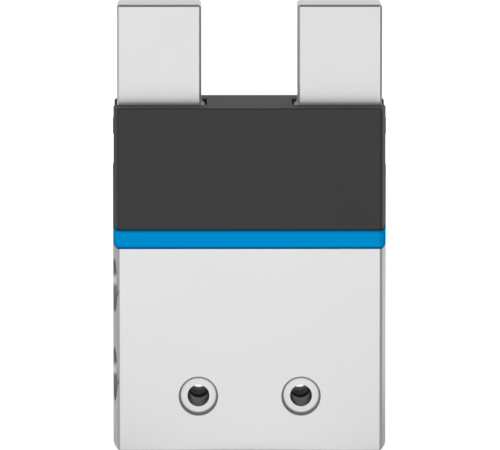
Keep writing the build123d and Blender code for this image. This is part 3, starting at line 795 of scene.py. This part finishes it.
low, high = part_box("rod_bush")
ring_piece("chamfered_rod_bush", [bush_section(ROD_RADIUS, high.x, low.z, high.z, 0.35 * MM)],
           "gripper_body", "bronze", "rod_bush")
for side in ("left", "right"):
    low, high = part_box(side + "_lever_bush")
    half = (high.z - low.z) / 2
    bush = carried_round(bush_section(3.05 * MM, half, 0.0, high.y - low.y, 0.25 * MM))
    grid = stood(bush, ((low.x + high.x) / 2, low.y, (low.z + high.z) / 2), (0, 1, 0))
    mesh = closed(mesh_of(side + "_chamfered_bush", [grid], around=True, along=True), 30.0)
    add_piece(mesh, side + "_lever_arm", "bronze", side + "_lever_bush")


def bumper(inner, outer, low, high, columns=96):
    """Rounded ring: its upper side waves down by a third of the height at six notches."""
    section = bush_section(inner, outer, low, high, 0.35 * (high - low))
    grid = carried_round(section, columns)
    turn = np.arange(columns) * 2 * np.pi / columns
    notch = np.clip(3 * np.cos(6 * turn) - 1.8, 0, 1) * 0.3 * (high - low)
    grid[section[:, 1] == high, :, 2] -= notch
    return grid


BUMPER_BORE = 10.0 * MM
for name, upside_down in (("lower_bumper", False), ("upper_bumper", True)):
    low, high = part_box(name)
    ring = bumper(BUMPER_BORE, high.x, low.z, high.z)
    if upside_down:
        ring[..., 2] = low.z + high.z - ring[..., 2]
    mesh = closed(mesh_of(name + "_ring", [ring], around=True, along=True), 50.0)
    add_piece(mesh, "gripper_body", "bumper_rubber", name)


# %% [markdown]
# ## Light and ground
# The light is that of a white studio: bright walls in front and behind, dimmer ones at the sides and a dark
# ceiling. Polished metal shows these walls, so each face of the jaws gets the grey of the wall it faces.

# %% World
def wall_level(tree, across, depth, walls):
    """Level from the direction's parts: middle - front * depth - left * across + even * depth squared.

    A twist, across times depth behind the part, makes the right corner there brighter than the left one.
    """
    front, back, left, right = walls
    middle = (left + right) / 2
    even = (front + back) / 2 - middle
    level = figured(tree, "MULTIPLY_ADD", depth, (back - front) / 2, middle)
    level = figured(tree, "MULTIPLY_ADD", across, (right - left) / 2, level)
    behind = figured(tree, "MAXIMUM", depth, 0.0)
    level = figured(tree, "MULTIPLY_ADD", figured(tree, "MULTIPLY", across, behind), TWIST, level)
    return figured(tree, "MULTIPLY_ADD", figured(tree, "MULTIPLY", depth, depth), even, level)


def make_world():
    """Sky of four walls, all times a dome that dims to the zenith; plain white to the camera."""
    world = bpy.data.worlds.new("studio")
    bpy.context.scene.world = world
    world.use_nodes = True
    tree = world.node_tree
    tree.nodes.clear()
    output = tree.nodes.new("ShaderNodeOutputWorld")
    background = tree.nodes.new("ShaderNodeBackground")
    wire(tree, background.outputs[0], output.inputs["Surface"])
    direction = tree.nodes.new("ShaderNodeSeparateXYZ")
    wire(tree, tree.nodes.new("ShaderNodeTexCoord").outputs["Generated"], direction.inputs[0])
    across, depth, up = direction.outputs
    level = wall_level(tree, across, depth, SKY_WALLS)
    dome = tree.nodes.new("ShaderNodeMapRange")
    dome.interpolation_type = "SMOOTHSTEP"
    for name, value in zip(RANGE_SOCKETS, (DOME_START, DOME_END, 1.0, ZENITH)):
        dome.inputs[name].default_value = value
    wire(tree, up, dome.inputs["Value"])
    level = figured(tree, "MULTIPLY", level, dome.outputs["Result"])
    paths = tree.nodes.new("ShaderNodeLightPath")
    seen = figured(tree, "MAXIMUM", paths.outputs["Is Camera Ray"], paths.outputs["Is Transmission Ray"])
    strength = tree.nodes.new("ShaderNodeMix")
    strength.data_type = "FLOAT"
    strength.inputs[3].default_value = 1.0
    wire(tree, seen, strength.inputs[0])
    wire(tree, level, strength.inputs[2])
    wire(tree, strength.outputs[0], background.inputs["Strength"])
    background.inputs["Color"].default_value = (1.0, 1.0, 1.0, 1.0)


RANGE_SOCKETS = ("From Min", "From Max", "To Min", "To Max")
SKY_WALLS = (0.95, 0.95, 0.7, 0.1)
TWIST = 0.75
DOME_START, DOME_END, ZENITH = 0.3, 0.9, 0.36
make_world()
print("sky walls in front, behind, left and right:", SKY_WALLS)


# %% Lamps
def soft_lamp(name, place, target, size, power):
    """Square area lamp that faces the target."""
    data = bpy.data.lights.new(name, "AREA")
    data.size = size
    data.energy = power
    lamp = bpy.data.objects.new(name, data)
    lamp.location = place
    lamp.rotation_mode = "QUATERNION"
    lamp.rotation_quaternion = (Vector(target) - Vector(place)).to_track_quat("-Z", "Y")
    lamp.visible_camera = False
    lamp.visible_glossy = False
    bpy.context.scene.collection.objects.link(lamp)
    print(name, "lamp of", power, "W")


CENTRE = (0.0, 0.0, 0.06)
soft_lamp("key", (-0.03, -1.5, 0.3), CENTRE, size=1.2, power=15.0)


# %% Floor
def make_floor():
    """Wide white floor that shows as white to the eye and keeps a soft shadow; to polished metal it glows with
    a level set by direction from the part, a painted reflection that dims near the part as painted shade.
    """
    bpy.ops.mesh.primitive_plane_add(size=FLOOR_SIZE, location=(0.0, 0.0, -FLOOR_DROP))
    floor = bpy.context.object
    floor.name = "floor"
    material = bpy.data.materials.new("floor_white")
    material.use_nodes = True
    tree = material.node_tree
    tree.nodes.clear()
    output = tree.nodes.new("ShaderNodeOutputMaterial")
    add = tree.nodes.new("ShaderNodeAddShader")
    diffuse = tree.nodes.new("ShaderNodeBsdfDiffuse")
    diffuse.inputs["Color"].default_value = (0.8, 0.8, 0.8, 1.0)
    glow = tree.nodes.new("ShaderNodeEmission")
    paths = tree.nodes.new("ShaderNodeLightPath")
    place = tree.nodes.new("ShaderNodeTexCoord").outputs["Object"]
    distance = tree.nodes.new("ShaderNodeVectorMath")
    distance.operation = "LENGTH"
    wire(tree, place, distance.inputs[0])
    heading = tree.nodes.new("ShaderNodeVectorMath")
    heading.operation = "NORMALIZE"
    wire(tree, place, heading.inputs[0])
    parts = tree.nodes.new("ShaderNodeSeparateXYZ")
    wire(tree, heading.outputs[0], parts.inputs[0])
    far = step_up(tree, distance.outputs["Value"], *SIDEWAYS_FROM)
    level = wall_level(tree, figured(tree, "MULTIPLY", parts.outputs[0], far), parts.outputs[1], FLOOR_WALLS)
    # Painted shade: the glow that metal sees fades near the part.
    near = tree.nodes.new("ShaderNodeMapRange")
    near.interpolation_type = "SMOOTHSTEP"
    for name, value in zip(RANGE_SOCKETS, (*SHADE_REACH, NADIR, 1.0)):
        near.inputs[name].default_value = value
    wire(tree, distance.outputs["Value"], near.inputs["Value"])
    level = figured(tree, "MULTIPLY", level, near.outputs["Result"])
    level = figured(tree, "MAXIMUM", figured(tree, "SUBTRACT", level, FLOOR_OWN), 0.0)
    eye = figured(tree, "MULTIPLY", paths.outputs["Is Camera Ray"], EYE_GLOW)
    mirror = figured(tree, "MULTIPLY", paths.outputs["Is Glossy Ray"], level)
    wire(tree, figured(tree, "ADD", eye, mirror), glow.inputs["Strength"])
    wire(tree, diffuse.outputs[0], add.inputs[0])
    wire(tree, glow.outputs[0], add.inputs[1])
    wire(tree, add.outputs[0], output.inputs["Surface"])
    floor.data.materials.append(material)
    print("floor", FLOOR_SIZE, "m wide")


FLOOR_SIZE, FLOOR_DROP = 24.0, 0.05 * MM
SIDEWAYS_FROM = (0.06, 0.2)
SHADE_REACH = (0.018, 0.034)
EYE_GLOW = 0.85
FLOOR_WALLS = (1.0, 0.68, 0.62, 0.2)
FLOOR_OWN = 0.3
NADIR = 0.4
make_floor()


# %% [markdown]
# ## Colour management
# The picture is a plain one, so the view transform is the plain one too.

# %% View and sizes
bpy.context.scene.view_settings.view_transform = "Standard"
